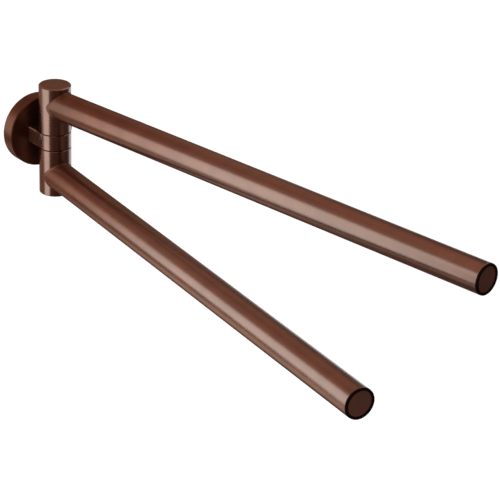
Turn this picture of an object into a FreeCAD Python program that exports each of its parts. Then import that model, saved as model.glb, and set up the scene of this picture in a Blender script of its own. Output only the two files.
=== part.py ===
import FreeCAD
import Part
import math
import os

# A wall-mounted towel rail with two arms that swivel on one upright pivot.
# All lengths are in millimetres and all angles in degrees.
# The origin is the centre of the rosette's back, on the wall. +Y points into the wall, so the
# arms reach out along -Y. +X is to the right of someone who faces the wall, and +Z is up.

V = FreeCAD.Vector
UP = V(0, 0, 1)
OUT = V(0, -1, 0)
RIGHT = V(1, 0, 0)
ORIGIN = V(0, 0, 0)

# Gaps that every fit shares
running_gap = 0.04          # radial, between the shaft and the bushes that turn on it
press_gap = 0.01            # radial, between pieces that are pressed or brazed together
thread_gap = 0.05           # radial, between a screw and its hole
cut_overrun = 1.0           # how far a cutting shape runs past the face that it cuts

# Arm tubes
arm_reach = 371.0           # from the pivot axis to the face of the arm's end
tube_outer_d = 20.0
tube_wall = 1.5
tube_tip_round = 0.3        # rounding of the outer edge under the end plug's flange
tube_bore_chamfer = 0.2     # inner edge at the open end
upper_turn_angle = 8.4      # rest angle from straight out, towards +X
lower_turn_angle = -6.2

# Tube end: a nylon plug that grips the bore, with a flange over the tube's end and a metal disc
# set in the flange
flange_thickness = 0.9
flange_step = 0.1           # the flange is this much smaller in radius than the tube
flange_edge_round = 0.35
flange_ring = 1.7           # width of the nylon ring that shows around the disc
disc_inset = 0.45           # from the flange's face to the disc's face
disc_thickness = 0.4
disc_edge_round = 0.12
plug_face_thickness = 2.4   # solid part of the plug behind the flange
plug_length = 15.0          # inside the tube
plug_core_relief = 0.9      # the core is this much smaller in radius than the barbs
plug_core_wall = 1.6
barb_count = 3
barb_length = 2.2

# Brazed joint between a tube and its hub: a spigot inside the tube with a neck through the hub
spigot_length = 22.0        # along the tube, from the hub's side
spigot_groove_depth = 0.4
spigot_groove_width = 2.0
spigot_groove_count = 2
spigot_end_chamfer = 0.8
neck_d = 9.0
neck_short = 0.2            # the neck stops this far short of the hub's chamber

# Post: an upper and a lower hub with the bracket's ring between them
post_overhang = 1.0         # how much further out the post's side is than a tube's
hub_height = 33.2
hub_end_margin = 3.7        # from the tube's side to the hub's outer end
hub_end_chamfer = 0.5
seam_chamfer = 0.2          # edges on both sides of a friction washer
chamber_depth = 18.7        # from the hub's outer end to the web that the nut pulls on
web_thickness = 2.5
cap_thickness = 2.5
cap_rim = 1.5               # wall of the hub around its cap
cap_edge_chamfer = 0.15

# Pivot shaft and what it carries
thread_d = 6.0
journal_step = 1.0          # from the thread's radius to the journal's
shoulder_step = 1.0         # from the journal's radius to the pressed middle part's
shaft_end_chamfer = 0.6
thread_beyond_nut = 1.0
journal_short = 0.4         # the journal stops this far under the thrust washer's face
journal_bush_wall = 2.0
bush_edge_chamfer = 0.3
thrust_bush_wall = 1.2
thrust_flange_thickness = 1.0
thrust_flange_room = 0.3    # radial, between the flange and the hub's chamber
thrust_washer_thickness = 1.0
thrust_washer_room = 0.6
spring_washer_thickness = 0.6
spring_washer_rise = 0.5
spring_washer_room = 0.8
spring_washer_bore_gap = 0.2
nut_wall = 2.0              # from the thread to a flat of the nut
nut_room = 1.0              # from the nut's corners to the hub's chamber
nut_hex_height = 3.8
nut_collar_height = 1.4
nut_collar_step = 0.6       # the collar is this much smaller in radius than the flats
nut_corner_drop = 0.5       # height of the chamfer on the nut's corners
friction_washer_thickness = 0.5
friction_washer_recess = 0.7    # from the post's side to the washer's rim
friction_washer_bore_gap = 0.1

# Bracket: a bar from the rosette that ends in the ring around the shaft
ring_height = 10.8
post_to_rosette = 5.0       # open space between the rosette's face and the post
bracket_screw_d = 5.0
bracket_screw_head_d = 10.0
bracket_screw_tip_wall = 3.0    # metal left between the screw's tip and the ring's bore
bracket_screw_key = 3.0     # across the flats of the hexagon socket
bracket_screw_key_depth = 1.8
bracket_screw_tip_chamfer = 0.6
screw_hole_beyond_tip = 1.0
pin_d = 2.5
pin_depth = 4.2             # how far the pin goes into the bar
pin_end_chamfer = 0.3
pin_hole_beyond_end = 0.4

# Rosette: a turned cup that hides the wall plate
rosette_d = 50.0
rosette_thickness = 10.0
rosette_rim_wall = 4.0
rosette_front_wall = 3.8
rosette_front_chamfer = 0.6
rosette_back_chamfer = 0.3

# Wall plate, its two screw holes and the grub screw that holds the rosette on it
plate_to_rosette = 0.1      # radial
plate_to_front_wall = 1.0
plate_edge_chamfer = 0.5
wall_screw_hole_d = 4.8
wall_screw_head_d = 9.0
wall_screw_edge = 2.4       # metal left between the countersink and the plate's rim
grub_d = 4.0
grub_from_wall = 3.4        # height of the grub screw's axis above the wall
grub_inset = 0.3            # from the rosette's side to the grub screw's end
grub_spot_depth = 1.2       # conical spot in the plate's rim
grub_tip_gap = 0.05
grub_key = 2.0
grub_key_depth = 1.8
grub_end_chamfer = 0.3

# Radii and places that follow from the sizes above
tube_r = tube_outer_d / 2
tube_bore_r = tube_r - tube_wall
post_r = tube_r + post_overhang
thread_r = thread_d / 2
journal_r = thread_r + journal_step
shaft_press_r = journal_r + shoulder_step
bush_bore_r = journal_r + running_gap
journal_bush_r = bush_bore_r + journal_bush_wall
thrust_bush_r = bush_bore_r + thrust_bush_wall
nut_flat_r = thread_r + nut_wall
nut_corner_r = nut_flat_r / math.cos(math.radians(30))
chamber_r = nut_corner_r + nut_room
cap_seat_r = post_r - cap_rim

ring_top = ring_height / 2
hub_low = ring_top + friction_washer_thickness
hub_high = hub_low + hub_height
web_top = hub_high - chamber_depth
web_low = web_top - web_thickness
cap_low = hub_high - cap_thickness
arm_height = hub_high - hub_end_margin - tube_r
flange_top = web_top + thrust_flange_thickness
thrust_washer_top = flange_top + thrust_washer_thickness
journal_top = thrust_washer_top - journal_short
spring_washer_top = thrust_washer_top + spring_washer_rise + spring_washer_thickness
nut_hex_top = spring_washer_top + nut_hex_height
nut_top = nut_hex_top + nut_collar_height
shaft_top = nut_top + thread_beyond_nut

wall_to_axis = rosette_thickness + post_to_rosette + post_r
pivot = V(0, -wall_to_axis, 0)
rosette_r = rosette_d / 2
rosette_bore_r = rosette_r - rosette_rim_wall
recess_depth = rosette_thickness - rosette_front_wall
plate_r = rosette_bore_r - plate_to_rosette
plate_thickness = recess_depth - plate_to_front_wall
wall_screw_spacing = 2 * (plate_r - wall_screw_edge - wall_screw_head_d / 2)
bracket_screw_r = bracket_screw_d / 2
bracket_screw_head_r = bracket_screw_head_d / 2
bracket_screw_tip = wall_to_axis - shaft_press_r - bracket_screw_tip_wall
pin_r = pin_d / 2
pin_offset = (bracket_screw_head_r + post_r) / 2   # midway from the screw's head to the bar's side
tube_end = arm_reach - flange_thickness
flange_r = tube_r - flange_step
disc_r = flange_r - flange_ring


# Ways of making a shape

def turned(outline):
    """A solid turned about the Z axis from a closed outline of (radius, height) points."""
    points = [V(radius, 0, height) for radius, height in outline]
    points.append(points[0])
    return Part.Face(Part.makePolygon(points)).revolve(ORIGIN, UP, 360)


def sleeve(outer_r, inner_r, low, high, chamfer=0):
    """A plain ring, with its two outer edges chamfered where a chamfer is given."""
    outline = [(inner_r, low), (outer_r - chamfer, low), (outer_r, low + chamfer)]
    outline += [(outer_r, high - chamfer), (outer_r - chamfer, high), (inner_r, high)]
    if not chamfer:
        outline = [(inner_r, low), (outer_r, low), (outer_r, high), (inner_r, high)]
    return turned(outline)


def hexagon(across_flats, low, high):
    """A six-sided prism about the Z axis, with two of its flats square to Y."""
    corner_r = across_flats / 2 / math.cos(math.radians(30))
    corners = [V(corner_r, 0, low)]
    for side in range(1, 7):
        turn = math.radians(60 * side)
        corners.append(V(corner_r * math.cos(turn), corner_r * math.sin(turn), low))
    return Part.Face(Part.makePolygon(corners)).extrude(UP * (high - low))


def facing_out(shape):
    """Turn a shape that was made along +Z so that it points out of the wall, along -Y."""
    return shape.rotated(ORIGIN, RIGHT, 90)


def rounded_edges(shape, radius, picks):
    """Round the edges that the function picks, and leave the rest sharp."""
    edges = [edge for edge in shape.Edges if picks(edge)]
    return shape.makeFillet(radius, edges)


# Wall side: plate, rosette, bracket and their fasteners

def countersunk_hole(hole_r, head_r, face, far):
    """The space of a countersunk screw whose head lies at height face and points to far."""
    way = 1 if far > face else -1
    cone_end = face + way * (head_r - hole_r)
    outline = [(0, face - way * cut_overrun), (head_r, face - way * cut_overrun)]
    outline += [(head_r, face), (hole_r, cone_end), (hole_r, far), (0, far)]
    return turned(outline)


def wall_plate():
    """A round plate with two countersunk screw holes and a conical spot in its rim."""
    edge = plate_edge_chamfer
    plate = turned([(0, 0), (plate_r, 0), (plate_r, plate_thickness - edge),
                    (plate_r - edge, plate_thickness), (0, plate_thickness)])
    hole = countersunk_hole(wall_screw_hole_d / 2, wall_screw_head_d / 2, plate_thickness, -cut_overrun)
    for side in (-1, 1):
        plate = plate.cut(hole.translated(RIGHT * (side * wall_screw_spacing / 2)))
    spot_size = grub_spot_depth + cut_overrun
    spot_point = V(0, grub_spot_depth - plate_r, grub_from_wall)
    spot = Part.makeCone(0, spot_size, spot_size, spot_point, OUT)
    return facing_out(plate.cut(spot))


def rosette_cover():
    """A turned cup with holes for the bracket's screw and pin and for the grub screw below."""
    front, back = rosette_front_chamfer, rosette_back_chamfer
    cup = turned([(rosette_bore_r, 0), (rosette_r - back, 0), (rosette_r, back),
                  (rosette_r, rosette_thickness - front), (rosette_r - front, rosette_thickness),
                  (0, rosette_thickness), (0, recess_depth), (rosette_bore_r, recess_depth)])
    far = rosette_thickness + cut_overrun
    cup = cup.cut(countersunk_hole(bracket_screw_r + thread_gap, bracket_screw_head_r + thread_gap,
                                   recess_depth, far))
    pin_hole = Part.makeCylinder(pin_r + press_gap, rosette_thickness, V(pin_offset, 0, 0), UP)
    cup = cup.cut(pin_hole.translated(UP * (recess_depth - cut_overrun)))
    grub_hole = Part.makeCylinder(grub_d / 2 + thread_gap, rosette_r, V(0, 0, grub_from_wall), OUT)
    return facing_out(cup.cut(grub_hole))


def rosette_grub_screw():
    """A grub screw under the rosette, with a cone that sits in the plate's spot."""
    radius = grub_d / 2
    low = plate_r - grub_spot_depth + grub_tip_gap
    high = rosette_r - grub_inset
    screw = turned([(0, low), (radius, low + radius), (radius, high - grub_end_chamfer),
                    (radius - grub_end_chamfer, high), (0, high)])
    screw = screw.cut(hexagon(grub_key, high - grub_key_depth, high + cut_overrun))
    screw = screw.rotated(ORIGIN, RIGHT, 180)
    return screw.translated(OUT * grub_from_wall)


def bracket_arm():
    """A flat bar as wide as the post, rounded around the pivot, with the shaft's bore in it."""
    back = -rosette_thickness
    corners = [V(post_r, back, -ring_top), V(-post_r, back, -ring_top),
               V(-post_r, -wall_to_axis, -ring_top), V(post_r, -wall_to_axis, -ring_top)]
    nose = V(0, -wall_to_axis - post_r, -ring_top)
    edges = [Part.makeLine(corners[0], corners[1]), Part.makeLine(corners[1], corners[2]),
             Part.Arc(corners[2], nose, corners[3]).toShape(), Part.makeLine(corners[3], corners[0])]
    bar = Part.Face(Part.Wire(edges)).extrude(UP * ring_height)
    rims = [edge for edge in bar.Edges
            if edge.BoundBox.ZLength < seam_chamfer and edge.BoundBox.YMin < back - seam_chamfer]
    bar = bar.makeChamfer(seam_chamfer, rims)
    bore = Part.makeCylinder(shaft_press_r + press_gap, 2 * ring_height, pivot - UP * ring_height, UP)
    hole_end = bracket_screw_tip + screw_hole_beyond_tip
    screw_hole = Part.makeCylinder(bracket_screw_r + thread_gap, hole_end, ORIGIN, OUT)
    pin_end = rosette_thickness + pin_depth + pin_hole_beyond_end
    pin_hole = Part.makeCylinder(pin_r + press_gap, pin_end, RIGHT * pin_offset, OUT)
    return bar.cut(bore).cut(screw_hole).cut(pin_hole)


def bracket_screw():
    """A countersunk screw from inside the rosette into the bar."""
    cone_end = recess_depth + bracket_screw_head_r - bracket_screw_r
    tip, bevel = bracket_screw_tip, bracket_screw_tip_chamfer
    screw = turned([(0, recess_depth), (bracket_screw_head_r, recess_depth), (bracket_screw_r, cone_end),
                    (bracket_screw_r, tip - bevel), (bracket_screw_r - bevel, tip), (0, tip)])
    key = hexagon(bracket_screw_key, recess_depth - cut_overrun, recess_depth + bracket_screw_key_depth)
    return facing_out(screw.cut(key))


def bracket_locating_pin():
    """A dowel beside the screw that keeps the bar level."""
    low = recess_depth
    high = rosette_thickness + pin_depth
    pin = sleeve(pin_r, 0, low, high, pin_end_chamfer)
    return facing_out(pin.translated(RIGHT * pin_offset))


def pivot_shaft():
    """The fixed shaft: a thick middle pressed into the ring, two journals and two threaded ends."""
    bevel = shaft_end_chamfer
    upper = [(shaft_press_r, ring_top), (journal_r, ring_top), (journal_r, journal_top),
             (thread_r, journal_top), (thread_r, shaft_top - bevel), (thread_r - bevel, shaft_top),
             (0, shaft_top)]
    lower = [(radius, -height) for radius, height in reversed(upper)]
    return turned(lower + upper)


# What is stacked on each end of the shaft, drawn for the upper end

def friction_washer():
    """A thin dark washer between the bracket's ring and a hub."""
    return sleeve(post_r - friction_washer_recess, journal_r + friction_washer_bore_gap,
                  ring_top, hub_low)


def thrust_washer():
    """A steel washer that slides on the thrust bush's flange."""
    return sleeve(chamber_r - thrust_washer_room, journal_r + thread_gap, flange_top, thrust_washer_top)


def spring_washer():
    """A coned spring washer under the nut, with its rim down."""
    rim_r = chamber_r - spring_washer_room
    bore_r = thread_r + spring_washer_bore_gap
    return turned([(rim_r, thrust_washer_top), (rim_r, thrust_washer_top + spring_washer_thickness),
                   (bore_r, spring_washer_top), (bore_r, spring_washer_top - spring_washer_thickness)])


def lock_nut():
    """A hexagon nut with a round locking collar on top."""
    body = hexagon(2 * nut_flat_r, spring_washer_top, nut_hex_top)
    shoulder = nut_hex_top - nut_corner_drop
    blank = turned([(0, spring_washer_top), (nut_corner_r, spring_washer_top), (nut_corner_r, shoulder),
                    (nut_flat_r, nut_hex_top), (0, nut_hex_top)])
    collar_r = nut_flat_r - nut_collar_step
    collar = Part.makeCylinder(collar_r, nut_collar_height, UP * nut_hex_top, UP)
    bore = Part.makeCylinder(thread_r + thread_gap, 2 * shaft_top, ORIGIN, UP)
    return body.common(blank).fuse(collar).cut(bore)


# One arm: hub, bushes, cap, spigot, tube and tube end, drawn straight out at the upper height

def hub():
    """Half of the post: a stepped bore, a web for the nut, a seat for the cap, a hole for the neck."""
    seam, end = seam_chamfer, hub_end_chamfer
    bore_r = journal_bush_r + press_gap
    web_r = thrust_bush_r + press_gap
    body = turned([(bore_r, hub_low), (post_r - seam, hub_low), (post_r, hub_low + seam),
                   (post_r, hub_high - end), (post_r - end, hub_high), (cap_seat_r, hub_high),
                   (cap_seat_r, cap_low), (chamber_r, cap_low), (chamber_r, web_top),
                   (web_r, web_top), (web_r, web_low), (bore_r, web_low)])
    neck_hole = Part.makeCylinder(neck_d / 2 + press_gap, post_r + cut_overrun, UP * arm_height, OUT)
    return body.cut(neck_hole)


def hub_cap():
    """A turned disc, flush with the hub's end, that closes the chamber over the nut."""
    return sleeve(cap_seat_r - press_gap, 0, cap_low, hub_high, cap_edge_chamfer)


def journal_bush():
    """The long nylon bush that the arm's load goes through."""
    return sleeve(journal_bush_r, bush_bore_r, hub_low, web_low, bush_edge_chamfer)


def thrust_bush():
    """A flanged nylon bush in the web, which carries the pull of the nut."""
    flange_r = chamber_r - thrust_flange_room
    return turned([(bush_bore_r, web_low), (thrust_bush_r, web_low), (thrust_bush_r, web_top),
                   (flange_r, web_top), (flange_r, flange_top), (bush_bore_r, flange_top)])


def saddle_cut(shape):
    """Cope a shape's inner end to the round of the post."""
    return shape.cut(Part.makeCylinder(post_r + press_gap, 2 * hub_high, ORIGIN, UP))


def along_arm(shape):
    """Move a shape that was made along +Z onto the arm's axis."""
    return facing_out(shape).translated(UP * arm_height)


def arm_spigot():
    """A grooved plug brazed into the tube, with a neck through the hub's wall."""
    radius = tube_bore_r - press_gap
    end = post_r + spigot_length
    body = sleeve(radius, 0, 0, end, spigot_end_chamfer)
    pitch = (spigot_length - spigot_groove_width) / (spigot_groove_count + 1)
    for groove in range(1, spigot_groove_count + 1):
        low = post_r + groove * pitch
        cutter = sleeve(tube_r, radius - spigot_groove_depth, low, low + spigot_groove_width)
        body = body.cut(cutter)
    neck_low = chamber_r + neck_short
    neck = Part.makeCylinder(neck_d / 2, end - neck_low - spigot_end_chamfer, UP * neck_low, UP)
    return saddle_cut(along_arm(body)).fuse(along_arm(neck))


def arm_tube():
    """The arm itself: a round tube, coped to the post at one end and softened at the other."""
    bevel = tube_bore_chamfer
    tube = turned([(tube_bore_r, 0), (tube_r, 0), (tube_r, tube_end),
                   (tube_bore_r + bevel, tube_end), (tube_bore_r, tube_end - bevel)])
    tube = rounded_edges(tube, min(tube_tip_round, tube_wall - 2 * bevel),
                         lambda edge: edge.BoundBox.ZMin > tube_end - bevel / 2
                         and edge.BoundBox.XMax > tube_r - bevel)
    return saddle_cut(along_arm(tube))


def arm_end_plug():
    """A nylon plug with barbs that grip the tube, and a flange with a shallow seat for the disc."""
    grip_r = tube_bore_r - press_gap
    core_r = grip_r - plug_core_relief
    hollow_r = core_r - plug_core_wall
    seat = arm_reach - disc_inset - disc_thickness
    face_low = tube_end - plug_face_thickness
    low = tube_end - plug_length
    outline = [(0, seat), (disc_r + press_gap, seat), (disc_r + press_gap, arm_reach),
               (flange_r, arm_reach), (flange_r, tube_end), (grip_r, tube_end),
               (grip_r, face_low), (core_r, face_low)]
    pitch = (plug_length - plug_face_thickness) / barb_count
    for barb in range(barb_count):
        top = face_low - (barb + 1) * pitch + barb_length
        outline += [(core_r, top), (grip_r, top), (core_r, top - barb_length)]
    outline += [(hollow_r, low), (hollow_r, face_low), (0, face_low)]
    plug = rounded_edges(turned(outline), min(flange_edge_round, flange_thickness / 2),
                         lambda edge: edge.BoundBox.ZMin > arm_reach - flange_thickness / 2
                         and edge.BoundBox.XMax > disc_r + flange_ring / 2)
    return along_arm(plug)


def arm_end_disc():
    """The metal disc that shows in the arm's end, with a softened edge."""
    face = arm_reach - disc_inset
    disc = Part.makeCylinder(disc_r, disc_thickness, UP * (face - disc_thickness), UP)
    disc = rounded_edges(disc, disc_edge_round,
                         lambda edge: edge.BoundBox.ZMin > face - disc_edge_round)
    return along_arm(disc)


# Putting the pieces in place

def at_pivot(shape, lower=False, turn=0):
    """Turn a piece over for the lower end, swing it to its rest angle, move it to the pivot."""
    placed = shape.rotated(ORIGIN, OUT, 180) if lower else shape
    return placed.rotated(ORIGIN, UP, turn).translated(pivot)


WALL_PIECES = (wall_plate, rosette_cover, rosette_grub_screw, bracket_arm, bracket_screw,
               bracket_locating_pin)
STACK_PIECES = (friction_washer, thrust_washer, spring_washer, lock_nut)
ARM_PIECES = (hub, hub_cap, journal_bush, thrust_bush, arm_spigot, arm_tube, arm_end_plug,
              arm_end_disc)


def main():
    """Make every piece and write each to its own file."""
    pieces = {make.__name__: make() for make in WALL_PIECES}
    pieces["pivot_shaft"] = at_pivot(pivot_shaft())
    for side, turn in (("upper", upper_turn_angle), ("lower", lower_turn_angle)):
        lower = side == "lower"
        for make in STACK_PIECES:
            pieces[f"{side}_{make.__name__}"] = at_pivot(make(), lower)
        for make in ARM_PIECES:
            pieces[f"{side}_{make.__name__}"] = at_pivot(make(), lower, turn)
    os.makedirs("parts", exist_ok=True)
    for name, shape in pieces.items():
        solid = shape.removeSplitter()
        solid.exportStep(f"parts/{name}.step")
        print(name, len(solid.Solids), solid.isValid(), round(solid.Volume))


main()
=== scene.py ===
# %% [markdown]
# # A towel rail with two swivelling arms
# The rail hangs on a wall by a round rosette. A short flat bar comes out of the rosette and ends in
# a ring. A shaft stands in that ring, and a hub turns on it above and below, each with one long
# tube brazed to its side. The construction is already made at its real size, so this lesson gives
# it its finish: brushed bronze, nylon, steel and brass, the screw threads that were left plain, and
# the studio that shows them. Every length below is in metres, and every angle is in degrees.

# %% The packed model
import bmesh
import bpy
import math
from mathutils import Matrix, Vector


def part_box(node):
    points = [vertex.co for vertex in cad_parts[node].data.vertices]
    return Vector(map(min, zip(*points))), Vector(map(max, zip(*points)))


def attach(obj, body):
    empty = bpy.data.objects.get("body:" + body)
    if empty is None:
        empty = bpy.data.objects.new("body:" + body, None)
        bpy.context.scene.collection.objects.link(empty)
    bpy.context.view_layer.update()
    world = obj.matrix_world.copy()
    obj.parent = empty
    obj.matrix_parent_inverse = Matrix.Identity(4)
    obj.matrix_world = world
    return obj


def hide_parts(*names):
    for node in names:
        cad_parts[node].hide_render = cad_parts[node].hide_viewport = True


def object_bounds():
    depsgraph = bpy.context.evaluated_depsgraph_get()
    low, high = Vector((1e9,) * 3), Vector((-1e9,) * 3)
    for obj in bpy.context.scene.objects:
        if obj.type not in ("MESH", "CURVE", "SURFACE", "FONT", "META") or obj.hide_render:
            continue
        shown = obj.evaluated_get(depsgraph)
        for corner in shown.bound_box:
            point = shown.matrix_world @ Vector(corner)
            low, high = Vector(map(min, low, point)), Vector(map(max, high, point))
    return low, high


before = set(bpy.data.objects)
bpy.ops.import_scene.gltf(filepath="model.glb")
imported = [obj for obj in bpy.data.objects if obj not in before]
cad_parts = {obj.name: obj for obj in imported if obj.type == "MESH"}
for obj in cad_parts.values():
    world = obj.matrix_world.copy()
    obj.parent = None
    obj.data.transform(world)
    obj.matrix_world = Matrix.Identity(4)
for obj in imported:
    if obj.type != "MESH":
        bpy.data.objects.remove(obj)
cad_low, cad_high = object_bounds()
print("pieces", len(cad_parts), "size", [round(side, 4) for side in cad_high - cad_low])

# %% [markdown]
# ## Sizes read from the model
# A finish has to follow the piece that it is on: brush marks run round a tube, turning marks run
# round a post. So the script needs the pivot's place and the direction of each arm. Both come from
# the boxes of the model's own pieces, and nothing is typed in twice.

# %% The pivot and the arms' directions
def middle(node):
    """The centre of a piece's box."""
    low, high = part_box(node)
    return (low + high) / 2


pivot = middle("pivot_shaft")
arm_axis = {}
for side in ("upper", "lower"):
    tip = middle(f"{side}_arm_end_disc")
    along = tip - pivot
    arm_axis[side] = Vector((along.x, along.y, 0)).normalized()
arm_height = {side: middle(f"{side}_arm_end_disc").z for side in arm_axis}
arm_turn = {side: math.degrees(math.atan2(axis.x, -axis.y)) for side, axis in arm_axis.items()}
print("pivot", [round(value, 4) for value in pivot])
print("arms turned by", {side: round(turn, 2) for side, turn in arm_turn.items()})

# %% [markdown]
# ## The camera
# A product photograph is taken from far away with a long lens, so that the object isn't distorted.
# A camera can be placed by its position and a target, but here the photograph gives something
# better: the direction it was taken from, its tilt, and where the pivot lies in the frame. The
# camera is built from those.

# %% Camera from its direction and the pivot's place in view
view_azimuth = -38.804
view_elevation = 25.165
view_roll = 1.94
pivot_in_view = Vector((-0.13277, 0.07629, -1.52153))   # to the right, up, and back
frame_width_px = 500
focal_length_px = 2232.8


def camera_turn(azimuth, elevation, roll):
    """The camera's rotation, from three square directions: to its right, up, and back."""
    a, e, r = (math.radians(angle) for angle in (azimuth, elevation, roll))
    back = Vector((math.sin(a) * math.cos(e), -math.cos(a) * math.cos(e), math.sin(e)))
    level = Vector((math.cos(a), math.sin(a), 0))
    upright = back.cross(level)
    right = level * math.cos(r) + upright * math.sin(r)
    up = upright * math.cos(r) - level * math.sin(r)
    return Matrix((right, up, back)).transposed()


camera = bpy.data.objects.new("camera", bpy.data.cameras.new("camera"))
bpy.context.scene.collection.objects.link(camera)
bpy.context.scene.camera = camera
turn = camera_turn(view_azimuth, view_elevation, view_roll)
camera.rotation_mode = "QUATERNION"
camera.rotation_quaternion = turn.to_quaternion()
camera.location = pivot - turn @ pivot_in_view
camera.data.sensor_width = 36
camera.data.lens = camera.data.sensor_width * focal_length_px / frame_width_px
camera.data.clip_start, camera.data.clip_end = 0.05, 50
print("camera at", [round(value, 3) for value in camera.location],
      "lens", round(camera.data.lens, 1), "mm")

# %% [markdown]
# ## Shader sums in plain Python
# Materials here are sums of noise, distances and masks. Adding a Math node by hand for each sign
# makes such a sum unreadable, so a socket is wrapped in a small class that knows how to add,
# subtract, multiply and divide. Then `0.3 + streaks * 0.05` adds its own nodes. All other nodes
# come from one method, `add`.

# %% A socket that can be used in a sum
class Wire:
    """The output of a node. Used in a sum, it adds the Math nodes for that sum."""

    def __init__(self, nodes, socket):
        self.nodes = nodes
        self.socket = socket

    def __add__(self, other):
        return self.nodes.sum("ADD", self, other)

    def __radd__(self, other):
        return self.nodes.sum("ADD", other, self)

    def __sub__(self, other):
        return self.nodes.sum("SUBTRACT", self, other)

    def __rsub__(self, other):
        return self.nodes.sum("SUBTRACT", other, self)

    def __mul__(self, other):
        return self.nodes.sum("MULTIPLY", self, other)

    def __rmul__(self, other):
        return self.nodes.sum("MULTIPLY", other, self)

    def __truediv__(self, other):
        return self.nodes.sum("DIVIDE", self, other)

    def __rtruediv__(self, other):
        return self.nodes.sum("DIVIDE", other, self)


print("a wire knows", [name for name in vars(Wire) if name.startswith("__r")])

# %% A builder of nodes
class Nodes:
    """A node tree that is being built."""

    def __init__(self, tree):
        self.tree = tree
        tree.nodes.clear()

    def add(self, kind, settings=None, inputs=None, out=0):
        """Adds any node: its settings, then values or wires for its sockets. Gives one output."""
        node = self.tree.nodes.new(kind)
        for name, value in (settings or {}).items():
            if name == "choices":
                while len(node.index_switch_items) < value:
                    node.index_switch_items.new()
            else:
                setattr(node, name, value)
        for name, value in (inputs or {}).items():
            if isinstance(value, Wire):
                self.tree.links.new(value.socket, node.inputs[name])
            else:
                node.inputs[name].default_value = value
        return Wire(self, node.outputs[out]) if node.outputs else node

    def sum(self, operation, *terms):
        """One Math node."""
        return self.add("ShaderNodeMath", {"operation": operation}, dict(enumerate(terms)))

    def split(self, vector):
        """The three parts of a vector."""
        return [self.add("ShaderNodeSeparateXYZ", None, {0: vector}, out=part) for part in range(3)]

    def smooth_step(self, value, low, high):
        """0 below low, 1 above high, and a soft rise between them."""
        return self.add("ShaderNodeMapRange", {"interpolation_type": "SMOOTHSTEP"}, {
            "Value": value, "From Min": low, "From Max": high, "To Min": 0.0, "To Max": 1.0})

    def soft_window(self, value, low, high, soft):
        """1 between low and high and 0 outside, with a soft rise and fall."""
        rise = self.smooth_step(value, low - soft, low + soft)
        return rise * (1 - self.smooth_step(value, high - soft, high + soft))

    def mix_colours(self, share, first, second):
        """A colour between two colours."""
        return self.add("ShaderNodeMix", {"data_type": "RGBA"},
                        {0: share, 6: first, 7: second}, out=2)


print("shader helpers ready")

# %% [markdown]
# ## The room
# The rail is photographed on pure white, with no wall behind it. In the studio that is a white
# background, and here the world gives it: it is white wherever the camera, a reflection or a ray
# through glass meets it, and for the soft light that falls on the object it has a plain level of
# its own.

# %% World
world_level = 0.42          # soft light from all sides


def white_where_seen(nodes, otherwise):
    """1 for rays from the camera, in reflections and through glass, and a level for the rest."""
    path = {name: nodes.add("ShaderNodeLightPath", out=name)
            for name in ("Is Camera Ray", "Is Glossy Ray", "Is Transmission Ray")}
    seen = nodes.sum("MAXIMUM", path["Is Camera Ray"], path["Is Glossy Ray"])
    seen = nodes.sum("MAXIMUM", seen, path["Is Transmission Ray"])
    return seen + (1 - seen) * otherwise


scene = bpy.context.scene
scene.view_settings.view_transform = "Standard"
world = bpy.data.worlds.new("studio")
scene.world = world
world.use_nodes = True
sky = Nodes(world.node_tree)
strength = white_where_seen(sky, world_level)
background = sky.add("ShaderNodeBackground", None, {"Color": (1, 1, 1, 1), "Strength": strength})
sky.add("ShaderNodeOutputWorld", None, {"Surface": background})
world.cycles.sampling_method = "NONE"
print("world level", world_level)

# %% [markdown]
# ## The floor
# A towel rail hangs a little over a metre above the floor, so the floor is down there, far below
# the picture. It is pale and keeps the soft shadow of the rail. Seen from below it lets the view
# through, so that the underside can be looked at.

# %% New objects and materials
def new_object(name, mesh):
    """Links a mesh to the scene as a new object."""
    thing = bpy.data.objects.new(name, mesh)
    bpy.context.scene.collection.objects.link(thing)
    return thing


def new_material(name):
    """A material with an empty node tree, and the builder for it."""
    material = bpy.data.materials.new(name)
    material.use_nodes = True
    return material, Nodes(material.node_tree)


# %% Floor
floor_drop = 1.15
floor_size = 14.0
floor_glow = 0.9            # what the floor adds where it is seen, so that it reads as white
floor_colour_seen = 0.4
floor_colour = 0.8


def flat_square(name, size, height):
    """A level square, seen from above."""
    half = size / 2
    mesh = bpy.data.meshes.new(name)
    corners = [(-half, -half, height), (half, -half, height),
               (half, half, height), (-half, half, height)]
    mesh.from_pydata(corners, [], [(0, 1, 2, 3)])
    return new_object(name, mesh)


def floor_paint():
    """Pale floor: a plain matt surface for light, near white where it is seen, open from below."""
    material, nodes = new_material("pale_floor")
    seen = white_where_seen(nodes, 0.0)
    matt = nodes.add("ShaderNodeBsdfDiffuse", None, {"Color": (floor_colour,) * 3 + (1,)})
    seen_matt = nodes.add("ShaderNodeBsdfDiffuse", None, {"Color": (floor_colour_seen,) * 3 + (1,)})
    glow = nodes.add("ShaderNodeEmission", None, {"Strength": floor_glow})
    bright = nodes.add("ShaderNodeAddShader", None, {0: seen_matt, 1: glow})
    top = nodes.add("ShaderNodeMixShader", None, {0: seen, 1: matt, 2: bright})
    from_below = nodes.add("ShaderNodeNewGeometry", out="Backfacing")
    open_below = nodes.add("ShaderNodeMixShader", None,
                           {0: from_below, 1: top, 2: nodes.add("ShaderNodeBsdfTransparent")})
    nodes.add("ShaderNodeOutputMaterial", None, {"Surface": open_below})
    return material


floor = flat_square("floor", floor_size, pivot.z - floor_drop)
floor.data.materials.append(floor_paint())
print("floor", round(floor_drop, 2), "m below the pivot")

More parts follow.
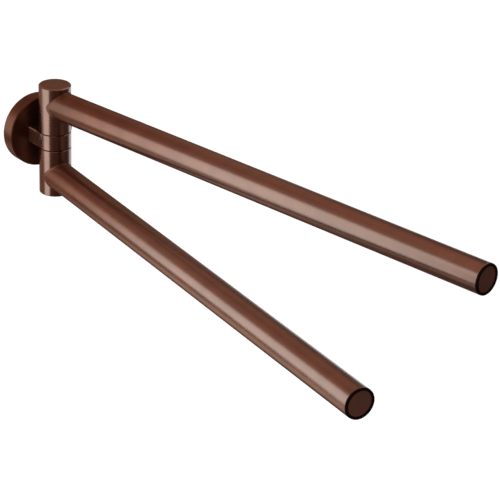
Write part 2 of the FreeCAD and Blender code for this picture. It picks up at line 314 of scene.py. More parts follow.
# %% [markdown]
# ## What the metal mirrors
# A metal surface shows the room, so a photographer builds a dark tent round a metal object and
# hangs bright boards in it. Brown walls and a brown ceiling give the soft shades on the flats, an
# opening behind on the right draws the thin bright line on the post's far edge, and a softbox high
# on the right keeps the other side from going black. The tent could be made of many boards, but one
# sphere whose glow depends on the direction does the same, and only reflections see it.

# %% The boards of the tent
tent_radius = 1.1
tent_dark = (0.11, 0.06, 0.045)
boards = (
    # name, azimuth from and to, elevation from and to, softness in degrees, colour
    ("left wall", -200, -60, -16, 110, 14, (0.56, 0.29, 0.20)),
    ("wall foot", -215, -166, -62, -20, 9, (0.42, 0.21, 0.15)),
    ("floor board", -170, -110, -50, -29, 8, (0.62, 0.40, 0.31)),
    ("corner board", -172, -145, -52, -29, 8, (0.85, 0.57, 0.44)),
    ("back wall", 130, 200, -38, 110, 14, (0.23, 0.115, 0.075)),
    ("ceiling", -200, 200, 50, 110, 12, (0.74, 0.385, 0.265)),
    ("back board", 138, 172, 18, 62, 9, (0.44, 0.225, 0.15)),
    ("top strip", -200, -147, 43, 62, 6, (0.40, 0.20, 0.135)),
    ("rim opening", 91, 132, -60, 0, 8, (1.0, 1.0, 1.0)),
    ("front board", -6, 40, -44, -8, 8, (0.19, 0.11, 0.085)),
    ("right softbox", 25, 105, 20, 62, 9, (0.95, 0.9, 0.82)),
)
print("boards:", ", ".join(board[0] for board in boards))

# %% A ball in mesh code
def ball(name, centre, radius, rings=24, segments=48):
    """A sphere in mesh code, with faces that point outwards."""
    points = [centre + Vector((0, 0, -radius))]
    for ring in range(1, rings):
        tilt = math.pi * ring / rings - math.pi / 2
        level, upright = math.cos(tilt), math.sin(tilt)
        for segment in range(segments):
            spin = 2 * math.pi * segment / segments
            direction = Vector((level * math.cos(spin), level * math.sin(spin), upright))
            points.append(centre + radius * direction)
    points.append(centre + Vector((0, 0, radius)))
    faces = []
    for segment in range(segments):
        after = (segment + 1) % segments
        faces.append((0, 1 + after, 1 + segment))
        for ring in range(rings - 2):
            low = 1 + ring * segments
            high = low + segments
            faces.append((low + segment, low + after, high + after, high + segment))
        low = 1 + (rings - 2) * segments
        faces.append((low + segment, low + after, len(points) - 1))
    mesh = bpy.data.meshes.new(name)
    mesh.from_pydata([tuple(point) for point in points], [], faces)
    mesh.polygons.foreach_set("use_smooth", [True] * len(faces))
    return new_object(name, mesh)


object_middle = (cad_low + cad_high) / 2
tent = ball("tent", object_middle, tent_radius)
print("tent of", len(tent.data.polygons), "faces, radius", tent_radius, "m")

# %% The tent's cloth
def tent_cloth(centre):
    """Dark cloth with boards of light, placed by azimuth and elevation about the object's middle."""
    material, nodes = new_material("tent_cloth")
    place = nodes.add("ShaderNodeTexCoord", out="Object")
    away = nodes.add("ShaderNodeVectorMath", {"operation": "SUBTRACT"}, {0: place, 1: tuple(centre)})
    direction = nodes.add("ShaderNodeVectorMath", {"operation": "NORMALIZE"}, {0: away})
    x, y, z = nodes.split(direction)
    to_degrees = 180 / math.pi
    azimuth = nodes.sum("ARCTAN2", x, 0 - y) * to_degrees
    elevation = nodes.sum("ARCSINE", z) * to_degrees
    glow = (*tent_dark, 1)
    for _, left, right, low, high, soft, colour in boards:
        across = nodes.soft_window(azimuth, left, right, soft)
        upwards = nodes.soft_window(elevation, low, high, soft)
        glow = nodes.mix_colours(across * upwards, glow, (*colour, 1))
    light = nodes.add("ShaderNodeEmission", None, {"Color": glow})
    nodes.add("ShaderNodeOutputMaterial", None, {"Surface": light})
    return material


def only_mirrored(thing):
    """Makes a stage piece show in reflections and nowhere else."""
    for seen_by in ("camera", "diffuse", "transmission", "volume_scatter", "shadow"):
        setattr(thing, "visible_" + seen_by, False)


tent.data.materials.append(tent_cloth(object_middle))
only_mirrored(tent)
print("tent with", len(boards), "boards")

# %% [markdown]
# ## The softbox on the left
# The long pale band along both tubes is the reflection of one large softbox on the left. It stands
# closer than the tent, because a near light makes the band change along the tube, as in the
# photograph. It is a plane whose light fades out towards its edges. Towards the wall its lower edge
# rises and its upper edge comes down, which keeps the band on the post narrow.

# %% The large softbox on the left
softbox_x = -0.5
softbox_y = (-0.15, 0.74)
softbox_z = (-0.44, 0.46)
softbox_edge = 0.045        # its light fades over this much on each side of an edge
softbox_top_edge = 0.13
corner_lift = 0.22          # how far the lower edge rises towards the wall,
corner_y = (0.0, 0.3)       # and between which places
corner_drop = 0.12          # how far the upper edge comes down,
top_corner_y = (0.2, 0.55)  # and between which places
softbox_light = (2.05, 1.99, 1.82)


def softbox_cloth():
    """White cloth that fades out at its edges and lets the tent show there."""
    material, nodes = new_material("softbox_cloth")
    place = nodes.add("ShaderNodeTexCoord", out="Object")
    _, y, z = nodes.split(place)
    lifted = z - nodes.smooth_step(y, *corner_y) * corner_lift
    lowered = z + nodes.smooth_step(y, *top_corner_y) * corner_drop
    low, high = softbox_z
    above = nodes.smooth_step(lifted, low - softbox_edge, low + softbox_edge)
    beyond = nodes.smooth_step(lowered, high - softbox_top_edge, high + softbox_top_edge)
    window = above * (1 - beyond) * nodes.soft_window(y, *softbox_y, softbox_edge)
    light = nodes.add("ShaderNodeEmission", None, {"Color": (*softbox_light, 1)})
    faded = nodes.add("ShaderNodeMixShader", None,
                      {0: window, 1: nodes.add("ShaderNodeBsdfTransparent"), 2: light})
    nodes.add("ShaderNodeOutputMaterial", None, {"Surface": faded})
    return material


softbox_mesh = bpy.data.meshes.new("softbox")
front, back = softbox_y[0] - softbox_edge, softbox_y[1] + softbox_edge
bottom, top = softbox_z[0] - softbox_edge, softbox_z[1] + softbox_top_edge
softbox_corners = ((front, bottom), (back, bottom), (back, top), (front, top))
softbox_mesh.from_pydata([(softbox_x, y, z) for y, z in softbox_corners], [], [(0, 1, 2, 3)])
left_softbox = new_object("softbox", softbox_mesh)
left_softbox.data.materials.append(softbox_cloth())
only_mirrored(left_softbox)
print("softbox", round(back - front, 2), "by", round(top - bottom, 2), "m")

# %% [markdown]
# ## The lamp
# The soft light that gives the object its plain level comes from the world. One large lamp overhead
# adds the little more light that upward surfaces have in the photograph. It is kept out of
# reflections, which are the tent's work.

# %% Overhead lamp
def square_lamp(name, azimuth, elevation, distance, size, level):
    """A square lamp that faces the object's middle. level is its brightness, whatever its size."""
    light = bpy.data.lights.new(name, "AREA")
    light.shape = "SQUARE"
    light.size = size
    light.energy = math.pi * size * size * level
    lamp = bpy.data.objects.new(name, light)
    bpy.context.scene.collection.objects.link(lamp)
    a, e = math.radians(azimuth), math.radians(elevation)
    away = Vector((math.sin(a) * math.cos(e), -math.cos(a) * math.cos(e), math.sin(e)))
    lamp.location = object_middle + away * distance
    lamp.rotation_mode = "QUATERNION"
    lamp.rotation_quaternion = away.to_track_quat("Z", "Y")
    lamp.visible_camera = False
    lamp.visible_glossy = False
    return lamp


overhead = square_lamp("overhead", azimuth=-60, elevation=72, distance=1.6, size=1.4, level=2.2)
print("overhead lamp of", round(overhead.data.energy, 1), "W")

# %% [markdown]
# ## Bronze
# The visible metal is bronze: brushed on the tubes, finely turned on the hubs, the rosette, the
# ring and the end discs, and then lacquered. Brushed metal could be a plain metal shader, but the
# photograph shows a pale band on a deep brown ground, and a metal alone would tint the band brown.
# A metal under a clear coat gives both: the metal mirrors in brown, and the coat over it mirrors in
# white.

# %% Coordinates and noise
noise_detail = 3.0


def object_place(nodes, centre=(0, 0, 0), turn_deg=0.0, stretch=(1, 1, 1)):
    """Object coordinates, moved to a centre, turned about the upright axis and stretched."""
    place = nodes.add("ShaderNodeTexCoord", out="Object")
    moved = nodes.add("ShaderNodeVectorMath", {"operation": "SUBTRACT"},
                      {0: place, 1: tuple(centre)})
    turned = nodes.add("ShaderNodeVectorRotate", {"rotation_type": "Z_AXIS"},
                       {"Vector": moved, "Angle": -math.radians(turn_deg)})
    return nodes.add("ShaderNodeVectorMath", {"operation": "MULTIPLY"},
                     {0: turned, 1: tuple(stretch)})


def noise(nodes, place, scale, detail=noise_detail, roughness=0.5):
    """Noise between 0 and 1."""
    return nodes.add("ShaderNodeTexNoise", None,
                     {"Vector": place, "Scale": scale, "Detail": detail, "Roughness": roughness})


print("noise of detail", noise_detail)

# %% Bronze finish
bronze_deep = (0.122, 0.040, 0.022)
bronze_warm = (0.176, 0.058, 0.031)
# the paler bronze of the painted highlight on the bar's filed edges
edge_highlight_paint = (0.42, 0.23, 0.16)
bronze_metallic = 0.92
bronze_roughness = 0.36
patch_scale = 85.0          # patches of about a centimetre
patch_steps = (0.25, 0.75)
patch_share = 0.7           # of the colour's change; the marks of the tool make the rest
rough_by_marks = 0.08
rough_by_patches = 0.05
mark_strength = 0.12
mark_depth = 0.00004
lacquer_roughness = 0.24
lacquer_ior = 2.0
lacquer_unevenness = 0.14


def bronze(name, marks, spread=0.0, spread_turn=0.0, lacquer=1.0, gloss=lacquer_roughness, painted_shading=1.0,
           satin=bronze_roughness, metal=bronze_metallic, painted_highlight=0.0):
    """Lacquered bronze. marks(nodes) gives the fine pattern of the tool.

    spread stretches the highlights one way, gloss is the lacquer's own roughness and satin the
    metal's, and painted_shading makes the colour darker for painted shade and paler for painted light.
    painted_highlight mixes in a paler bronze as a painted highlight. lacquer, satin, metal and
    painted_highlight are numbers, or functions of the nodes where they change over the piece.
    """
    material, nodes = new_material(name)
    lacquer, satin, metal, painted_highlight = (part(nodes) if callable(part) else part
                                   for part in (lacquer, satin, metal, painted_highlight))
    pattern = marks(nodes)
    patches = noise(nodes, object_place(nodes), patch_scale)
    shade = nodes.smooth_step(patches, *patch_steps) * patch_share + pattern * (1 - patch_share)
    # painted shading: the whole colour is made darker as painted shade, or paler as painted light
    deep, warm = ([painted_shading * part for part in colour] for colour in (bronze_deep, bronze_warm))
    colour = nodes.mix_colours(shade, (*deep, 1), (*warm, 1))
    # painted highlight: paler bronze is mixed in where its mask is 1
    colour = nodes.mix_colours(painted_highlight, colour, (*edge_highlight_paint, 1))
    rough = satin + (pattern - 0.5) * rough_by_marks + (patches - 0.5) * rough_by_patches
    bump = nodes.add("ShaderNodeBump", None,
                     {"Strength": mark_strength, "Distance": mark_depth, "Height": pattern})
    coat = lacquer * (1 + (patches - 0.5) * lacquer_unevenness)
    surface = nodes.add("ShaderNodeBsdfPrincipled", None, {
        "Base Color": colour, "Roughness": rough, "Metallic": metal, "Normal": bump,
        "Anisotropic": spread, "Anisotropic Rotation": spread_turn,
        "Coat Weight": coat, "Coat Roughness": gloss, "Coat IOR": lacquer_ior})
    nodes.add("ShaderNodeOutputMaterial", None, {"Surface": surface})
    return material


print("bronze is", bronze_metallic, "metal under a coat of refractive index", lacquer_ior)

# %% [markdown]
# ## Marks of the tool
# A tube is brushed while it spins, so its marks run round it. A hub, a rosette and a disc are
# turned on a lathe, so their marks run round the axis too. Both are noise that is stretched along
# the mark. For a tube, two of the three directions are pressed together, and for a turned piece
# only the height and the distance from the axis count.

# %% Brushed and turned patterns
mark_width_scale = 5200.0
mark_length_scale = 45.0


def fine_marks(nodes, place):
    """The noise that both kinds of marks are made of."""
    return noise(nodes, place, mark_width_scale, roughness=0.6)


def brushed_round(side):
    """Marks that run round one arm."""
    slow = mark_length_scale / mark_width_scale

    def marks(nodes):
        return fine_marks(nodes, object_place(nodes, pivot, arm_turn[side], (slow, 1, slow)))
    return marks


def turned_round(centre, along):
    """Fine rings round an axis: by height on a side, by the distance from the axis on a face."""
    def marks(nodes):
        parts = nodes.split(object_place(nodes, centre))
        height = parts.pop("xyz".index(along))
        from_axis = nodes.sum("SQRT", parts[0] * parts[0] + parts[1] * parts[1])
        place = nodes.add("ShaderNodeCombineXYZ", None, {0: height, 1: from_axis, 2: 0.0})
        return fine_marks(nodes, place)
    return marks


print("marks", round(1000 / mark_width_scale, 2), "mm wide and",
      round(1000 / mark_length_scale), "mm long")

# %% [markdown]
# ## Where a finish changes
# A finish isn't the same all over a piece. By the braze joint a tube is rough, because the brush
# can't reach there, and its lacquer is thin after cleaning by hand. The bar's flat sides stay matt
# behind the polished ring, and its filed edges are painted a paler bronze, a painted highlight
# along the edge. Each change is a soft step along one distance from the pivot.

# %% Changes near the joint
thin_lacquer = 0.25
thin_zone = (0.0, 0.19)             # from the pivot along an arm, where the lacquer gets thicker
rough_by = 0.22
rough_zone = (0.012, 0.045)         # and where the metal gets smoother


def along_arm(nodes, side):
    """How far along its arm a point is from the pivot."""
    return 0 - nodes.split(object_place(nodes, pivot, arm_turn[side]))[1]


def thin_at_joint(side):
    """Less lacquer by the braze joint."""
    def lacquer(nodes):
        away = nodes.smooth_step(along_arm(nodes, side), *thin_zone)
        return thin_lacquer + away * (1 - thin_lacquer)
    return lacquer


def rough_at_joint(side):
    """Rougher metal by the braze joint."""
    def satin(nodes):
        away = nodes.smooth_step(along_arm(nodes, side), *rough_zone)
        return bronze_roughness + (1 - away) * rough_by
    return satin


print("full lacquer from", thin_zone[1] * 1000, "mm, smooth metal from", rough_zone[1] * 1000, "mm")

# %% Changes on the bar
less_metal = 0.5
flat_bar_zone = (0.0015, 0.009)     # behind the pivot, where the ring goes over into the bar
flat_side_zone = (0.0096, 0.0104)   # to its left and right, where the flat sides begin
filed_edge_zone = (0.01562, 0.01578)    # the distance to the side and the one up or down, added


def bar_distances(nodes):
    """How far a point is behind the pivot, beside it, and above or below it."""
    x, behind, z = nodes.split(object_place(nodes, pivot))
    return behind, nodes.sum("ABSOLUTE", x), nodes.sum("ABSOLUTE", z)


def matt_flat_sides(nodes):
    """The bar's sides are less like metal than its ring."""
    behind, beside, _ = bar_distances(nodes)
    flat = nodes.smooth_step(behind, *flat_bar_zone) * nodes.smooth_step(beside, *flat_side_zone)
    return bronze_metallic - flat * less_metal


def painted_edge_highlight(nodes):
    """A painted highlight: paler bronze along the bar's filed edges."""
    behind, beside, above = bar_distances(nodes)
    filed = nodes.smooth_step(beside + above, *filed_edge_zone)
    return nodes.smooth_step(behind, *flat_bar_zone) * filed


print("flat sides are", round(bronze_metallic - less_metal, 2), "metal")

# %% The bronze finishes
brush_spread = 0.6      # how much further a highlight spreads across the brush marks than along them
polish = {"spread": 0.15, "spread_turn": 0.25, "lacquer": 0.92, "gloss": 0.17, "satin": 0.27}

tube_bronze, disc_bronze = {}, {}
for side in arm_axis:
    tube_bronze[side] = bronze(f"brushed_bronze_{side}", brushed_round(side), brush_spread,
                               lacquer=thin_at_joint(side), satin=rough_at_joint(side))
    disc_marks = turned_round(middle(f"{side}_arm_end_disc"), "y")
    # painted light: the end discs' bronze is painted paler than the other bronze
    disc_bronze[side] = bronze(f"turned_bronze_disc_{side}", disc_marks, painted_shading=1.1)
post_marks = turned_round(pivot, "z")
hub_bronze = bronze("turned_bronze_post", post_marks, **polish)
# the bar's filed edges get a painted highlight in paler bronze
bar_bronze = bronze("polished_bronze_bar", post_marks, **polish,
                    metal=matt_flat_sides, painted_highlight=painted_edge_highlight)
# painted shade: the hub caps' bronze, seen on the post's top faces, is painted darker
cap_bronze = bronze("turned_bronze_cap", post_marks, lacquer=0.55, painted_shading=0.75)
rosette_marks = turned_round(middle("rosette_cover"), "y")
# painted shade: the rosette's bronze is painted darker than the other bronze
rosette_bronze = bronze("turned_bronze_rosette", rosette_marks, lacquer=0.12, painted_shading=0.72)
print("bronze finishes:", [each.name for each in bpy.data.materials if "bronze" in each.name])

# %% [markdown]
# ## Nylon, steel and brass
# The washers and end plugs are black nylon, the bushes white nylon, the fasteners steel and the
# spigots brass. They are mostly hidden, but each still gets its own colour, gloss and grain.

# %% Plain finishes
plain_patch_scale = 60.0
grain_strength = 0.2
rough_by_grain = 0.12


def plain_finish(name, dark, light, metallic, roughness, grain_scale, grain_depth, mirror=0.5):
    """A finish with a fine grain between two close colours."""
    material, nodes = new_material(name)
    place = object_place(nodes)
    grain = noise(nodes, place, grain_scale)
    patches = noise(nodes, place, plain_patch_scale, detail=2.0)
    colour = nodes.mix_colours(grain * 0.5 + patches * 0.5, (*dark, 1), (*light, 1))
    rough = roughness + (grain - 0.5) * rough_by_grain
    bump = nodes.add("ShaderNodeBump", None,
                     {"Strength": grain_strength, "Distance": grain_depth, "Height": grain})
    surface = nodes.add("ShaderNodeBsdfPrincipled", None, {
        "Base Color": colour, "Roughness": rough, "Metallic": metallic, "Normal": bump,
        "Specular IOR Level": mirror})
    nodes.add("ShaderNodeOutputMaterial", None, {"Surface": surface})
    return material


# dark and light colour, how metallic, roughness, grain scale and grain depth
black_nylon = plain_finish("black_nylon", (0.0055, 0.0018, 0.0012), (0.0115, 0.004, 0.003),
                           0.0, 0.5, 2600, 0.00003, mirror=0.06)
white_nylon = plain_finish("white_nylon", (0.66, 0.65, 0.61), (0.76, 0.75, 0.71),
                           0.0, 0.42, 1800, 0.00002)
bright_steel = plain_finish("bright_steel", (0.42, 0.42, 0.43), (0.58, 0.58, 0.59),
                            1.0, 0.3, 3000, 0.00001)
dark_steel = plain_finish("dark_steel", (0.035, 0.035, 0.038), (0.07, 0.07, 0.075),
                          1.0, 0.42, 3000, 0.00001)
raw_brass = plain_finish("raw_brass", (0.5, 0.33, 0.12), (0.62, 0.42, 0.17),
                         1.0, 0.34, 2400, 0.00001)
zinc_plate = plain_finish("zinc_plate", (0.36, 0.37, 0.38), (0.52, 0.53, 0.54),
                          1.0, 0.38, 900, 0.00002)
plain_finishes = (black_nylon, white_nylon, bright_steel, dark_steel, raw_brass, zinc_plate)
print("plain finishes:", [each.name for each in plain_finishes])

# %% [markdown]
# ## The arm tubes
# Each arm is a tube whose end is coped, which means that it is cut to the shape of the post that it
# is brazed to. That shape follows a rule: a line along the tube, at a sideways distance from its
# middle, meets the round post where the post's own circle is. So a Geometry Nodes tree can make the
# tube from its sizes: a flat grid is rolled up, one way round the tube and the other way along its
# outline. The construction has the same tube; this one adds the small fillet of braze at the joint
# and the direction of the brush marks, which spreads the highlights.

# %% A mesh made by a rule
weld_distance = 1e-6
sharp_from = 30     # degrees between two faces


class Rule(Nodes):
    """A Geometry Nodes tree with named inputs. It makes one mesh out of grids that are rolled up."""

    def __init__(self, name, inputs):
        super().__init__(bpy.data.node_groups.new(name, "GeometryNodeTree"))
        for title, kind in inputs.items():
            self.tree.interface.new_socket(title, in_out="INPUT", socket_type="NodeSocket" + kind)
        self.tree.interface.new_socket("Geometry", in_out="OUTPUT", socket_type="NodeSocketGeometry")
        self.size = {title: self.add("NodeGroupInput", out=title) for title in inputs}

    def roll_up(self, stations, place_of, turns=1.0):
        """Rolls a grid round an axis, once or more, and welds it where it meets itself.

        A station is a tuple of values, and place_of(angle, *values) gives the point for it.
        """
        columns = self.sum("ROUND", self.size["Segments"] * turns)
        rows = len(stations)
        grid = self.add("GeometryNodeMeshGrid", None,
                        {"Vertices X": columns + 1, "Vertices Y": rows})
        number = self.add("GeometryNodeInputIndex")     # a grid counts its points column by column
        column = self.sum("FLOOR", (number + 0.5) / rows)
        station = number - column * rows
        angle = column / self.size["Segments"] * (2 * math.pi)
        values = [self.pick(station, same_part) for same_part in zip(*stations)]
        rolled = self.add("GeometryNodeSetPosition", None,
                          {"Geometry": grid, "Position": place_of(angle, *values)})
        return self.add("GeometryNodeMergeByDistance", None,
                        {"Geometry": rolled, "Distance": weld_distance})

    def pick(self, number, values):
        """The value that stands at that place in the list."""
        inputs = {"Index": number, **dict(enumerate(values, start=1))}
        settings = {"data_type": "FLOAT", "choices": len(values)}
        return self.add("GeometryNodeIndexSwitch", settings, inputs)

    def close(self, mesh):
        """Shades the mesh smooth apart from sharp edges, sets its finish and ends the tree."""
        bend = self.add("GeometryNodeInputMeshEdgeAngle")
        soft = self.sum("LESS_THAN", bend, math.radians(sharp_from))
        mesh = self.add("GeometryNodeSetShadeSmooth", {"domain": "EDGE"},
                        {"Geometry": mesh, "Shade Smooth": soft})
        mesh = self.add("GeometryNodeRealizeInstances", None, {"Geometry": mesh})
        mesh = self.add("GeometryNodeSetMaterial", None,
                        {"Geometry": mesh, "Material": self.size["Finish"]})
        self.add("NodeGroupOutput", None, {"Geometry": mesh})


print("a rule keeps edges over", sharp_from, "degrees sharp")

# %% A rule, run once
def made_by(rule, name, values):
    """Runs the tree once with these values and gives a plain mesh object."""
    carrier = new_object(name, bpy.data.meshes.new(name + "_start"))
    modifier = carrier.modifiers.new("rule", "NODES")
    modifier.node_group = rule.tree
    for item in rule.tree.interface.items_tree:
        if item.in_out == "INPUT":
            modifier[item.identifier] = values[item.name]
    evaluated = carrier.evaluated_get(bpy.context.evaluated_depsgraph_get())
    mesh = bpy.data.meshes.new_from_object(evaluated)
    carrier.modifiers.clear()
    carrier.data = mesh
    mesh.name = name
    return carrier


print("a rule ends as a plain mesh")

# %% The coped tube as a rule
tip_arc = [math.radians(angle) for angle in (18, 36, 54, 72, 90)]
fillet_arc = [math.radians(angle) for angle in (0, 22.5, 45, 67.5, 90)]


def tube_rule():
    """The outline goes down the fillet, along the outside, over the end, and back along the bore."""
    rule = Rule("coped_tube", {
        "Segments": "Int", "Radius": "Float", "Wall": "Float", "Reach": "Float",
        "Post radius": "Float", "Braze fillet": "Float", "Tip round": "Float",
        "Turn": "Float", "Pivot": "Vector", "Finish": "Material"})
    size = rule.size
    outer, reach = size["Radius"], size["Reach"]
    fillet, tip = size["Braze fillet"], size["Tip round"]
    bore = outer - size["Wall"]
    # each station: its radius, how far along it is, and 1 where it follows the post
    stations = [(outer + fillet * (1 - math.sin(bend)), fillet * (1 - math.cos(bend)), 1.0)
                for bend in fillet_arc]
    stations += [(outer, reach - tip, 0.0)]
    stations += [(outer - tip * (1 - math.cos(bend)), reach - tip * (1 - math.sin(bend)), 0.0)
                 for bend in tip_arc]
    stations += [(bore, reach, 0.0), (bore, 0.0, 1.0), stations[0]]

    def place_of(angle, radius, along, on_post):
        sideways = radius * rule.sum("COSINE", angle)
        post = size["Post radius"]
        cope = rule.sum("SQRT", post * post - sideways * sideways)
        far = along + on_post * cope
        upwards = radius * rule.sum("SINE", angle)
        local = rule.add("ShaderNodeCombineXYZ", None, {0: sideways, 1: 0 - far, 2: upwards})
        turned = rule.add("ShaderNodeVectorRotate", {"rotation_type": "Z_AXIS"},
                          {"Vector": local, "Angle": size["Turn"]})
        return rule.add("ShaderNodeVectorMath", {"operation": "ADD"}, {0: turned, 1: size["Pivot"]})

    rule.close(rule.roll_up(stations, place_of))
    return rule


coped_tube = tube_rule()
print("tube rule with", len(coped_tube.tree.nodes), "nodes")

# %% Both tubes
tube_segments = 96
tube_radius = 0.010
tube_wall = 0.0015
post_radius = 0.011
braze_fillet = 0.0007
tube_tip_round = 0.0003
texture_space_far = 1000.0


def spread_along(piece, direction):
    """Makes highlights spread along a level direction, across the brush marks.

    Without a texture map the renderer takes that direction from the mesh's texture space: it runs
    round the upright axis of that space. With the space far to one side, it is the same straight
    direction all over the mesh.
    """
    far = texture_space_far
    piece.data.use_auto_texspace = False
    piece.data.texspace_location = (-direction.y * far, direction.x * far, 0)
    piece.data.texspace_size = (1, 1, 1)


for side in arm_axis:
    low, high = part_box(f"{side}_arm_tube")
    axis = arm_axis[side]
    far_y = low.y if axis.y < 0 else high.y
    reach = (pivot.y - far_y - tube_radius * abs(axis.x)) / abs(axis.y)
    tube = made_by(coped_tube, f"{side}_tube_brushed", {
        "Segments": tube_segments, "Radius": tube_radius, "Wall": tube_wall, "Reach": reach,
        "Post radius": post_radius, "Braze fillet": braze_fillet, "Tip round": tube_tip_round,
        "Turn": math.radians(arm_turn[side]), "Pivot": Vector((pivot.x, pivot.y, arm_height[side])),
        "Finish": tube_bronze[side]})
    spread_along(tube, axis)
    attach(tube, f"{side}_arm")
    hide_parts(f"{side}_arm_tube")
    print(side, "tube reaches", round(reach * 1000, 2), "mm, faces", len(tube.data.polygons))

# %% [markdown]
# ## The bracket's bar
# The long edges of the flat bar are broken by hand with a file, and that narrow slope catches the
# light as a thin line. The construction has the bar with a fine chamfer only. A Bevel modifier
# would bevel the ring and the holes too. So a copy of the bar is cut across just behind the ring,
# and the points of the old chamfer are moved apart along the bar alone, which keeps the skin
# closed.

# %% A piece of the model, ready to be changed
def merged_copy(node):
    """The mesh of a piece in mesh code, with its faces joined to one closed skin."""
    work = bmesh.new()
    work.from_mesh(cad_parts[node].data)
    bmesh.ops.remove_doubles(work, verts=work.verts, dist=weld_distance)
    return work


def as_object(work, name):
    """Ends the work in mesh code. The old normals go, because the shape has changed."""
    mesh = bpy.data.meshes.new(name)
    work.to_mesh(mesh)
    work.free()
    for attribute in [each for each in mesh.attributes if each.name == "custom_normal"]:
        mesh.attributes.remove(attribute)
    mesh.polygons.foreach_set("use_smooth", [True] * len(mesh.polygons))
    mesh.set_sharp_from_angle(angle=math.radians(sharp_from))
    return new_object(name, mesh)


work = merged_copy("bracket_arm")
print("the bar has", len(work.verts), "points and", len(work.faces), "faces")

# %% The bar with broken edges
seam_chamfer = 0.0002       # the fine chamfer of the construction
broken_edge = 0.0006
behind_pivot = 0.0015       # where the copy is cut across
same_place = 1e-5           # coordinates closer than this are the same
ring_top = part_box("bracket_arm")[1].z


def near(value, target):
    """Whether a coordinate lies at that distance, on either side."""
    return abs(abs(value) - target) < same_place


def break_edges(work):
    """Moves both lines of points of the old chamfer away from the edge, behind the cut."""
    moved = 0
    for vertex in work.verts:
        place = vertex.co
        if place.y < pivot.y + behind_pivot - weld_distance:
            continue
        if near(place.x, post_radius) and near(place.z, ring_top - seam_chamfer):
            place.z -= math.copysign(broken_edge - seam_chamfer, place.z)
            moved += 1
        elif near(place.z, ring_top) and near(place.x, post_radius - seam_chamfer):
            place.x -= math.copysign(broken_edge - seam_chamfer, place.x)
            moved += 1
    return moved


everything = work.verts[:] + work.edges[:] + work.faces[:]
bmesh.ops.bisect_plane(work, geom=everything, dist=weld_distance / 10,
                       plane_co=(0, pivot.y + behind_pivot, 0), plane_no=(0, 1, 0))
moved = break_edges(work)
bar = as_object(work, "bracket_arm_filed")
bar.data.materials.append(bar_bronze)
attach(bar, "wall_bracket")
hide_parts("bracket_arm")
print("bar with", moved, "points moved")

# %% [markdown]
# ## The screw threads
# The construction has plain round rods where the real shaft and screws are threaded. A thread is a
# ridge that climbs round its rod by one pitch a turn, so the grid that made the tubes makes it too,
# rolled up many times. The rod is rolled up once, from an outline with the screw's head, its
# hexagon socket and its point. One function builds such a tree, and it makes the shaft, the
# countersunk screw and the grub screw from their own outlines and sizes.

# %% A threaded rod as a rule
thread_depth_share = 0.54       # of the pitch
thread_root = 0.05              # how far the ridge goes into its rod, as a share of its depth
# the ridge cut across: 0 at its root and 1 at its crest, and the place along one pitch
thread_section = ((0.0, -0.43), (1.0, -0.07), (1.0, 0.07), (0.0, 0.43), (0.0, -0.43))
nudge = 1e-5                    # an angle, so that a hexagon's corner always counts with the same flat


def rod_rule(name, outline, ridges):
    """A rod and its thread. The rod stands upright at Pivot, tipped over by Tilt about the X axis.

    outline(core) lists radius, height and 1 where the radius is half a hexagon's width. ridges
    lists start, end, and whether that thread is on the lower end.
    """
    rule = Rule(name, {
        "Segments": "Int", "Thread radius": "Float", "Pitch": "Float", "Tilt": "Float",
        "Pivot": "Vector", "Finish": "Material"})
    size = rule.size
    depth = size["Pitch"] * thread_depth_share
    core = size["Thread radius"] - depth

    def placed(radius, angle, height, lower=False):
        x, y = radius * rule.sum("COSINE", angle), radius * rule.sum("SINE", angle)
        point = rule.add("ShaderNodeCombineXYZ", None, {0: x, 1: y, 2: height})
        tipped = rule.add("ShaderNodeVectorRotate", {"rotation_type": "X_AXIS"},
                          {"Vector": point, "Angle": size["Tilt"] + (math.pi if lower else 0.0)})
        return rule.add("ShaderNodeVectorMath", {"operation": "ADD"}, {0: tipped, 1: size["Pivot"]})

    def rod_place(angle, radius, height, hexagon):
        sixth = math.pi / 3
        off_flat = rule.sum("MODULO", angle + nudge, sixth) - sixth / 2     # 0 in a flat's middle
        stretch = 1 - hexagon + hexagon / rule.sum("COSINE", off_flat)
        return placed(radius * stretch, angle, height)

    joined = rule.add("GeometryNodeJoinGeometry")
    parts = [rule.roll_up(outline(core), rod_place)]
    for start, end, lower in ridges:
        columns = rule.sum("ROUND", (end - start) / size["Pitch"] * size["Segments"])
        turns = columns / size["Segments"]

        def ridge_place(angle, crest, along):
            gone = angle / (2 * math.pi)
            fade = rule.sum("MINIMUM", rule.sum("MINIMUM", gone, turns - gone) * 2, 1.0)
            radius = core + depth * (crest * fade - thread_root)
            return placed(radius, angle, start + (gone + along * fade) * size["Pitch"], lower)

        parts.append(rule.roll_up(list(thread_section), ridge_place, turns))
    for part in parts:
        rule.tree.links.new(part.socket, joined.socket.node.inputs[0])
    rule.close(joined)
    return rule


print("thread depth is", thread_depth_share, "of its pitch")

# %% Outlines of the shaft and the two screws
shaft_press_r, shaft_journal_r = 0.005, 0.004
shaft_journal_top = 0.022
end_bevel = 0.0003
shaft_end = (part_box("pivot_shaft")[1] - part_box("pivot_shaft")[0]).z / 2
screw_low, screw_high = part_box("bracket_screw")
screw_face, screw_tip = -screw_high.y, -screw_low.y     # it points away from the wall
screw_head_r, screw_thread_r = 0.005, 0.0025
screw_shoulder = screw_face + screw_head_r - screw_thread_r
screw_key, screw_key_depth = 0.003, 0.0018
grub_low, grub_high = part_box("rosette_grub_screw")
grub_face, grub_point = -grub_low.z, -grub_high.z       # it points upwards
grub_key, grub_key_depth = 0.002, 0.0018


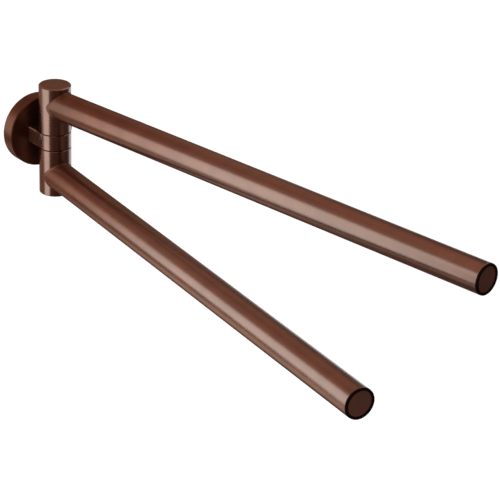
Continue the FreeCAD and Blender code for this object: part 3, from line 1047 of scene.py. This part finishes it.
def shaft_outline(core):
    """The ring's width at the middle, then a journal and a thread at each end."""
    half = [(shaft_press_r, ring_top, 0.0), (shaft_journal_r, ring_top, 0.0),
            (shaft_journal_r, shaft_journal_top, 0.0), (core, shaft_journal_top, 0.0),
            (core, shaft_end - end_bevel, 0.0), (core - end_bevel, shaft_end, 0.0),
            (0.0, shaft_end, 0.0)]
    return [(radius, -height, flat) for radius, height, flat in reversed(half)] + half


def screw_outline(core):
    """The socket, the countersunk head, and the rod under it."""
    socket_floor = screw_face + screw_key_depth
    return [(0.0, socket_floor, 0.0), (screw_key / 2, socket_floor, 1.0),
            (screw_key / 2, screw_face, 1.0), (screw_head_r, screw_face, 0.0),
            (screw_thread_r, screw_shoulder, 0.0), (core, screw_shoulder, 0.0),
            (core, screw_tip - end_bevel, 0.0), (core - end_bevel, screw_tip, 0.0),
            (0.0, screw_tip, 0.0)]


def grub_outline(core):
    """The cone at its point, the rod, and the socket in its end."""
    socket_floor = grub_face - grub_key_depth
    return [(0.0, grub_point, 0.0), (core, core + grub_point, 0.0),
            (core, grub_face - end_bevel, 0.0), (core - end_bevel / 2, grub_face, 0.0),
            (grub_key / 2, grub_face, 1.0), (grub_key / 2, socket_floor, 1.0),
            (0.0, socket_floor, 0.0)]


print("shaft", round(shaft_end * 2000, 1), "mm, screw", round((screw_tip - screw_face) * 1000, 1),
      "mm, grub screw", round((grub_face - grub_point) * 1000, 1), "mm")

# %% The threaded pieces
rod_segments = 36
thread_short = 0.0004       # how far a thread stays from a shoulder and from the rod's end
grub_cone = 0.0018          # the thread of the grub screw starts behind its cone
shaft_thread = (shaft_journal_top + thread_short, shaft_end - thread_short)
screw_thread = (screw_shoulder + thread_short, screw_tip - thread_short)
grub_thread = (grub_point + grub_cone, grub_face - end_bevel)
threaded = (
    # piece, node, slot, metal, outline, ridges, thread radius, pitch, tilt, and where it stands
    ("pivot_shaft_threaded", "pivot_shaft", "plain_steel", bright_steel, shaft_outline,
     [(*shaft_thread, False), (*shaft_thread, True)], 0.003, 0.001, 0, pivot),
    ("bracket_screw_threaded", "bracket_screw", "plain_steel", bright_steel, screw_outline,
     [(*screw_thread, False)], screw_thread_r, 0.0008, 90, Vector((0, 0, 0))),
    ("rosette_grub_screw_threaded", "rosette_grub_screw", "dark_steel", dark_steel, grub_outline,
     [(*grub_thread, False)], 0.002, 0.0007, 180, Vector((0, middle("rosette_grub_screw").y, 0))),
)
for piece, node, slot, metal, outline, ridges, radius, pitch, tilt, foot in threaded:
    rod = made_by(rod_rule(piece, outline, ridges), piece, {
        "Segments": rod_segments, "Thread radius": radius, "Pitch": pitch,
        "Tilt": math.radians(tilt), "Pivot": foot, "Finish": metal})
    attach(rod, "wall_bracket")
    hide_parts(node)
    print(piece, "has", len(rod.data.polygons), "faces")

# %% [markdown]
# ## A finish for every piece
# The pieces that the lesson leaves in their shape only need their material. The replaced pieces are
# hidden, but they get it too, so that no piece of the model is left plain.

# %% Every piece gets its finish
def finish(node, material):
    """Gives a piece of the model its material."""
    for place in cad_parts[node].material_slots:
        place.material = material


finish("rosette_cover", rosette_bronze)
finish("bracket_arm", bar_bronze)
finish("wall_plate", zinc_plate)
finish("rosette_grub_screw", dark_steel)
for node in ("bracket_screw", "bracket_locating_pin", "pivot_shaft"):
    finish(node, bright_steel)
for side in arm_axis:
    finish(f"{side}_arm_tube", tube_bronze[side])
    finish(f"{side}_hub", hub_bronze)
    finish(f"{side}_hub_cap", cap_bronze)
    finish(f"{side}_arm_end_disc", disc_bronze[side])
    finish(f"{side}_arm_spigot", raw_brass)
    for part in ("thrust_washer", "spring_washer", "lock_nut"):
        finish(f"{side}_{part}", bright_steel)
    for part in ("journal_bush", "thrust_bush"):
        finish(f"{side}_{part}", white_nylon)
    for part in ("friction_washer", "arm_end_plug"):
        finish(f"{side}_{part}", black_nylon)
print("finishes set")

# %% [markdown]
# ## Closing the lesson
